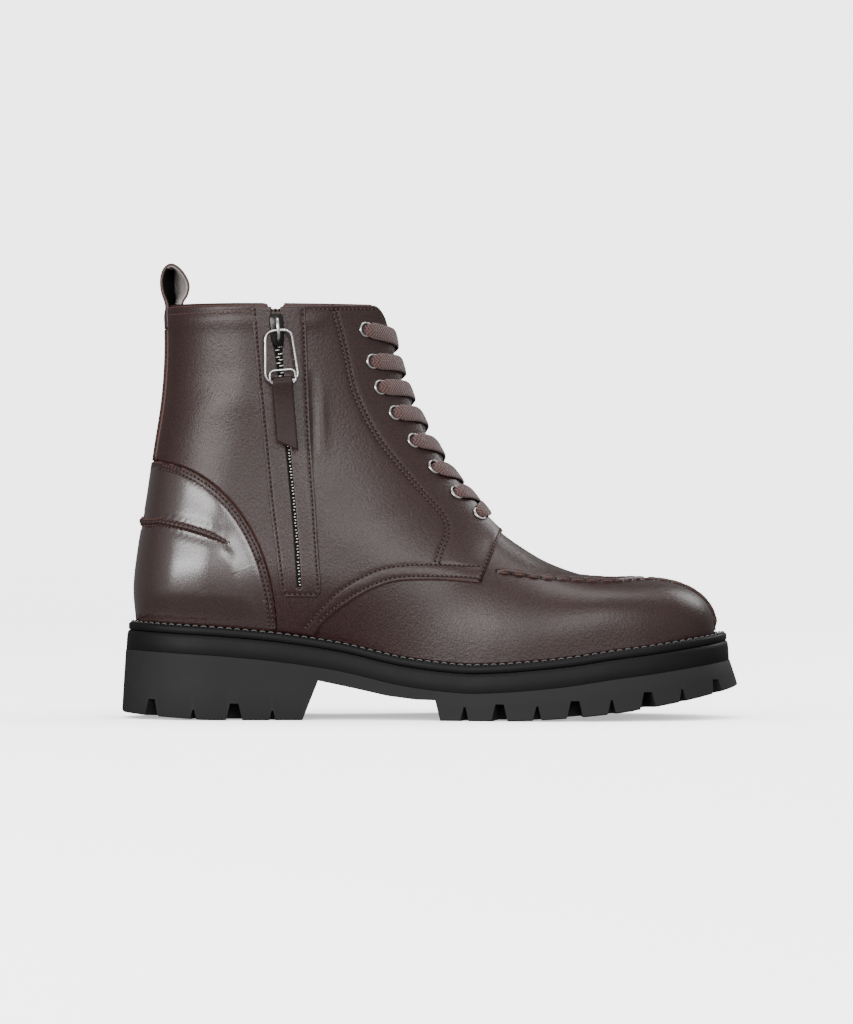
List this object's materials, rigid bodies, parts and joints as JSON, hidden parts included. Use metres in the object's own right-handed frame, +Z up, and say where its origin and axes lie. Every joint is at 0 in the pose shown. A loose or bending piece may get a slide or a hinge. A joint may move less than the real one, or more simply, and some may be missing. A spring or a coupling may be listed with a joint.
{
  "type": "lace-up boot",
  "caption": "Lace-up ankle boot in dark leather with an inside zip, stitched apron toe, heel counter, pull loop and a thick lugged rubber sole.",
  "frame": {"origin": "middle of the sole's outline on the floor", "axes": "+X from heel to toe, +Z up, and the inner side with the zip faces -Y"},
  "size_m": [0.3102, 0.1151, 0.2283],
  "materials": {
    "outsole_rubber": "matt moulded rubber",
    "black_rubber": "matt black rubber",
    "insole_lining": "plain lining leather",
    "upper_leather": "smooth dark brown, semi-gloss",
    "quarter_leather": "smooth dark brown, semi-gloss",
    "counter_leather": "smooth dark brown, semi-gloss, raw reddish edge",
    "trim_leather": "smooth dark brown, satin",
    "zip_metal": "satin steel",
    "eyelet_metal": "bright nickel",
    "lace_cord": "flat woven brown lace"
  },
  "bodies": {
    "boot": {"outsole": "outsole_rubber", "midsole": "black_rubber", "welt": "black_rubber", "insole": "insole_lining", "upper": "upper_leather", "tongue": "upper_leather", "quarter_medial": "quarter_leather", "quarter_lateral": "quarter_leather", "counter": "counter_leather", "backstay": "counter_leather", "apron_seam": "upper_leather", "toe_seam": "upper_leather", "heel_seam": "counter_leather", "pull_loop": "trim_leather", "zip_facing": "trim_leather", "zip_chain": "zip_metal", "zip_slider": "zip_metal", "lace_1": "lace_cord", "lace_2": "lace_cord", "lace_3": "lace_cord", "lace_4": "lace_cord", "lace_5": "lace_cord", "lace_6": "lace_cord", "lace_7": "lace_cord", "eyelet_medial_1": "eyelet_metal", "eyelet_medial_2": "eyelet_metal", "eyelet_medial_3": "eyelet_metal", "eyelet_medial_4": "eyelet_metal", "eyelet_medial_5": "eyelet_metal", "eyelet_medial_6": "eyelet_metal", "eyelet_medial_7": "eyelet_metal", "eyelet_medial_8": "eyelet_metal", "eyelet_lateral_1": "eyelet_metal", "eyelet_lateral_2": "eyelet_metal", "eyelet_lateral_3": "eyelet_metal", "eyelet_lateral_4": "eyelet_metal", "eyelet_lateral_5": "eyelet_metal", "eyelet_lateral_6": "eyelet_metal", "eyelet_lateral_7": "eyelet_metal", "eyelet_lateral_8": "eyelet_metal"},
    "zip_pull": {"zip_ring": "zip_metal", "zip_tab": "trim_leather"}
  },
  "joints": [
    {"name": "zip_pull_swing", "type": "hinge", "parent": "boot", "child": "zip_pull", "pos_m": [-0.07497, -0.04501, 0.19237], "axis": [-0.9867, -0.1395, -0.0834], "range_deg": [0, 150]}
  ]
}
